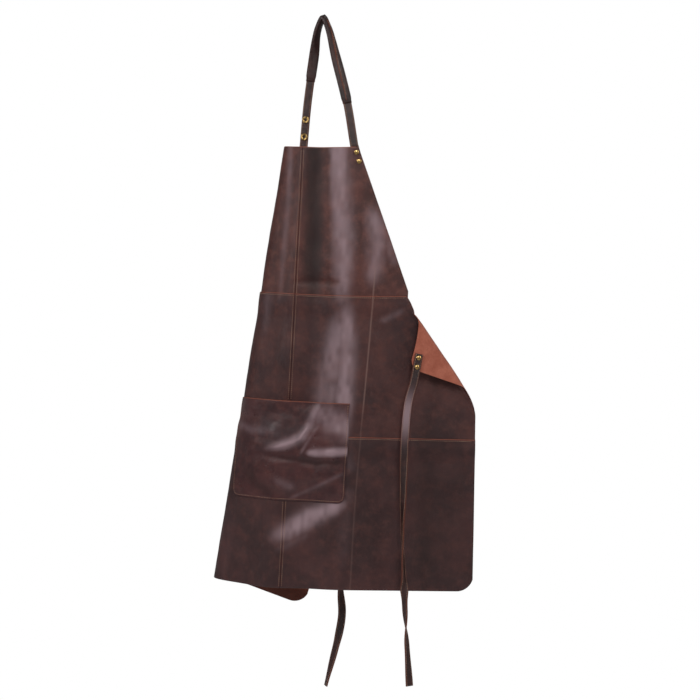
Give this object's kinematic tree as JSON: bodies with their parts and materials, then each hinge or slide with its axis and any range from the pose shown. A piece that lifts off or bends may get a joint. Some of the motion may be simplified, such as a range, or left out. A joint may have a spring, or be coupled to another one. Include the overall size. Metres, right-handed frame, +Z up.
{
  "type": "leather welding apron",
  "caption": "Long leather welding apron hung by its padded neck loop, with bib, skirt, patch pocket, folded wing corners and two waist ties.",
  "frame": {"origin": "the point under the top of the neck loop that rests on a hook", "axes": "+X to the right seen from the front, +Y away from the front, +Z up"},
  "size_m": [0.4841, 0.1466, 1.2384],
  "materials": {
    "leather": "dark brown oiled grain leather with a soft sheen, suede inside",
    "strap_leather": "dark brown strap leather with raw russet edges",
    "brass": "polished brass with a little tarnish"
  },
  "bodies": {
    "neck_loop": {"neck_strap": "strap_leather", "neck_pad": "strap_leather", "spare_socket_1": "brass", "spare_socket_2": "brass"},
    "apron": {"bib_panel_left": "leather", "bib_panel_right": "leather", "middle_panel_left": "leather", "middle_panel_right": "leather", "lower_panel_left": "leather", "lower_panel_right": "leather", "front_pocket": "leather", "neck_strap_fixed_end": "strap_leather", "tie_right_end": "strap_leather", "tie_left_end": "strap_leather", "snap_stud_upper": "brass", "snap_stud_lower": "brass", "bib_rivet_upper": "brass", "bib_rivet_lower": "brass", "tie_right_rivet_upper": "brass", "tie_right_rivet_lower": "brass", "tie_left_rivet_upper": "brass", "tie_left_rivet_lower": "brass"},
    "snap_end": {"neck_strap_snap_end": "strap_leather", "snap_socket_upper": "brass", "snap_socket_lower": "brass"},
    "right_tie": {"tie_right": "strap_leather"},
    "left_tie": {"tie_left": "strap_leather"}
  },
  "joints": [
    {"name": "apron_swing", "type": "hinge", "parent": "neck_loop", "child": "apron", "pos_m": [0.05668, -0.02552, -0.23065], "axis": [-0.9115, 0.4104, -0.0274], "range_deg": [-20, 20]},
    {"name": "snap_release", "type": "hinge", "parent": "apron", "child": "snap_end", "pos_m": [-0.03683, 0.01658, -0.23346], "axis": [0.9685, -0.2186, -0.1189], "range_deg": [0, 70]},
    {"name": "right_tie_swing", "type": "hinge", "parent": "apron", "child": "right_tie", "pos_m": [0.16759, -0.02552, -0.64318], "axis": [-0.9624, -0.2716, 0], "range_deg": [-2, 75]},
    {"name": "left_tie_swing", "type": "hinge", "parent": "apron", "child": "left_tie", "pos_m": [0.02537, 0.0909, -0.66639], "axis": [0.1565, -0.9877, 0], "range_deg": [0, 75]}
  ]
}
